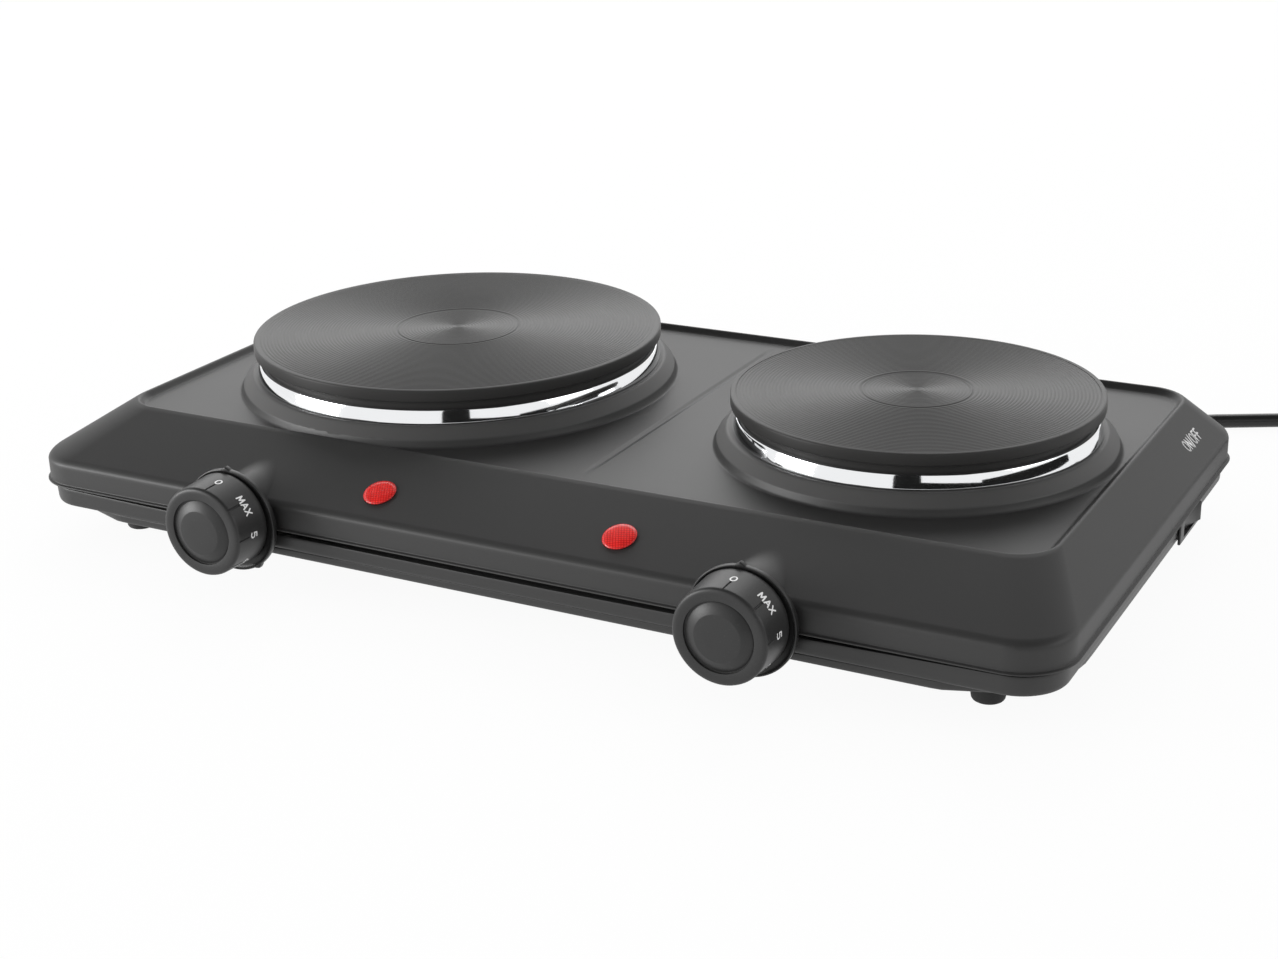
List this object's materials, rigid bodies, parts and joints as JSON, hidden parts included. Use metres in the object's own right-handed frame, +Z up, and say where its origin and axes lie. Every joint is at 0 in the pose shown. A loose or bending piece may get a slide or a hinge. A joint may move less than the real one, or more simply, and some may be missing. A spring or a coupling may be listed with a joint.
{
  "type": "hot plate burner",
  "caption": "Free-standing electric hot plate with a large and a small cast-iron plate, turning front dials, indicator lamps, a rocker switch and a mains lead.",
  "frame": {"origin": "on the table, under the middle of the hot plate with its dials and without its lead", "axes": "+X to the right end (small plate, switch), +Y to the back (lead), +Z up; the dials face -Y"},
  "size_m": [0.5963, 0.4275, 0.0749],
  "materials": {
    "shell_paint": "satin",
    "tray_paint": "satin",
    "cast_iron": "satin",
    "chrome": "polished",
    "zinc_steel": "satin",
    "aluminium": "satin",
    "black_rubber": "matte",
    "dial_plastic": "satin",
    "black_plastic": "satin",
    "red_lens": "gloss",
    "ceramic": "matte",
    "brass": "satin",
    "wire_sleeve": "matte"
  },
  "bodies": {
    "housing": {"top_shell": "shell_paint", "base_tray": "tray_paint", "foot_front_left": "black_rubber", "foot_screw_front_left": "zinc_steel", "foot_front_right": "black_rubber", "foot_screw_front_right": "zinc_steel", "foot_back_left": "black_rubber", "foot_screw_back_left": "zinc_steel", "foot_back_right": "black_rubber", "foot_screw_back_right": "zinc_steel", "big_hotplate": "cast_iron", "big_trim_ring": "chrome", "big_heating_coil": "zinc_steel", "big_heat_shield": "aluminium", "big_clamp_bar": "zinc_steel", "big_centre_stud": "zinc_steel", "big_clamp_nut": "brass", "big_terminal_ceramic": "ceramic", "small_hotplate": "cast_iron", "small_trim_ring": "chrome", "small_heating_coil": "zinc_steel", "small_heat_shield": "aluminium", "small_clamp_bar": "zinc_steel", "small_centre_stud": "zinc_steel", "small_clamp_nut": "brass", "small_terminal_ceramic": "ceramic", "left_dial_collar": "black_plastic", "left_thermostat": "ceramic", "left_thermostat_screw_1": "zinc_steel", "left_thermostat_screw_2": "zinc_steel", "left_indicator_lens": "red_lens", "left_indicator_holder": "black_plastic", "right_dial_collar": "black_plastic", "right_thermostat": "ceramic", "right_thermostat_screw_1": "zinc_steel", "right_thermostat_screw_2": "zinc_steel", "right_indicator_lens": "red_lens", "right_indicator_holder": "black_plastic", "switch_housing": "black_plastic", "switch_pin": "zinc_steel", "strain_relief": "black_rubber", "terminal_block": "ceramic", "supply_lead": "black_rubber", "switch_wire": "wire_sleeve", "right_supply_wire": "wire_sleeve", "left_supply_wire": "wire_sleeve", "big_plate_wire": "wire_sleeve", "small_plate_wire": "wire_sleeve", "power_cord": "black_rubber", "cord_coil": "black_rubber", "cord_tail": "black_rubber", "plug_body": "black_plastic", "plug_pin_1": "brass", "plug_pin_2": "brass"},
    "left_dial": {"left_dial": "dial_plastic", "left_dial_shaft": "zinc_steel"},
    "right_dial": {"right_dial": "dial_plastic", "right_dial_shaft": "zinc_steel"},
    "rocker": {"switch_rocker": "black_plastic"}
  },
  "joints": [
    {"name": "left_dial_turn", "type": "hinge", "parent": "housing", "child": "left_dial", "pos_m": [-0.118, -0.1369, 0.0315], "axis": [0, 1, 0], "range_deg": [0, 315]},
    {"name": "right_dial_turn", "type": "hinge", "parent": "housing", "child": "right_dial", "pos_m": [0.118, -0.1369, 0.0315], "axis": [0, 1, 0], "range_deg": [0, 315]},
    {"name": "rocker_tilt", "type": "hinge", "parent": "housing", "child": "rocker", "pos_m": [0.2323, 0.0674, 0.0201], "axis": [0, 0, 1], "range_deg": [0, 18]}
  ]
}
